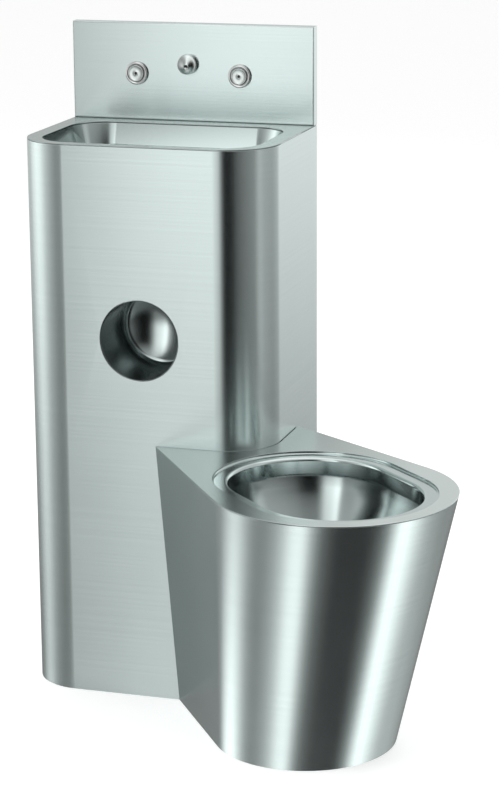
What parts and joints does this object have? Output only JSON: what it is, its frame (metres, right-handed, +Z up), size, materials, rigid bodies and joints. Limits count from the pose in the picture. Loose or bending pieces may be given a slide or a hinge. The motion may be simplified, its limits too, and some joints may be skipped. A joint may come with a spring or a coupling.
{
  "type": "toilet and basin combination unit",
  "caption": "Stainless steel basin column with splashback, push-button water and roll recess, with a conical toilet pan set at an angle on its front corner.",
  "frame": {"origin": "on the floor, at the wall, on the centre line of the column", "axes": "+X along the wall to the right as seen from the front, +Y into the wall, +Z up"},
  "size_m": [0.7102, 0.7602, 1],
  "materials": {
    "stainless_satin": "satin-ground stainless sheet with a fine horizontal grain",
    "stainless_pressed": "pressed stainless sheet, brighter and smoother than the shells",
    "stainless_tube": "drawn stainless tube, dull",
    "polished_steel": "turned and polished stainless",
    "chrome_ring": "chromed brass",
    "raw_brass": "turned brass, unplated",
    "copper": "drawn copper tube",
    "black_rubber": "moulded rubber, matt",
    "white_plastic": "moulded plastic, satin",
    "zinc_steel": "zinc-plated steel",
    "spring_steel": "spring wire"
  },
  "bodies": {
    "unit": {"column_shell": "stainless_satin", "column_foot": "stainless_satin", "rail_top": "zinc_steel", "rail_bottom": "zinc_steel", "basin_deck": "stainless_satin", "basin_bowl": "stainless_pressed", "splashback": "stainless_satin", "roll_recess": "stainless_pressed", "pan_shroud": "stainless_satin", "pan_foot": "stainless_satin", "pan_top": "stainless_satin", "flush_rim": "stainless_pressed", "pan_bowl": "stainless_pressed", "flush_chamber": "stainless_pressed", "pan_trap": "stainless_pressed", "soil_coupling": "black_rubber", "coupling_clamps": "zinc_steel", "soil_link": "stainless_tube", "soil_bend": "stainless_tube", "soil_pipe": "stainless_tube", "flush_link": "stainless_tube", "flush_bend": "stainless_tube", "flush_pipe": "stainless_tube", "flush_seal": "black_rubber", "waste_grid": "polished_steel", "grid_screw": "polished_steel", "waste_seal": "black_rubber", "waste_body": "raw_brass", "trap_bend": "white_plastic", "trap_nuts": "white_plastic", "trap_washers": "black_rubber", "waste_pipe": "white_plastic", "spout": "polished_steel", "spout_seal": "black_rubber", "spout_nut": "zinc_steel", "spout_union": "raw_brass", "mixed_tube": "copper", "basin_bezel": "chrome_ring", "basin_spring": "spring_steel", "basin_button_seal": "black_rubber", "basin_button_nut": "zinc_steel", "basin_valve": "raw_brass", "flush_bezel": "chrome_ring", "flush_spring": "spring_steel", "flush_button_seal": "black_rubber", "flush_button_nut": "zinc_steel", "flush_valve": "raw_brass", "wall_studs": "zinc_steel", "stud_nuts": "zinc_steel"},
    "basin_button": {"basin_button": "polished_steel"},
    "flush_button": {"flush_button": "polished_steel"}
  },
  "joints": [
    {"name": "basin_button_push", "type": "slide", "parent": "unit", "child": "basin_button", "axis": [0, 1, 0], "range_m": [0, 0.005], "stiffness_N_per_m": 800, "springref_m": -0.004, "deforming": ["basin_spring"]},
    {"name": "flush_button_push", "type": "slide", "parent": "unit", "child": "flush_button", "axis": [0, 1, 0], "range_m": [0, 0.005], "stiffness_N_per_m": 800, "springref_m": -0.004, "deforming": ["flush_spring"]}
  ]
}
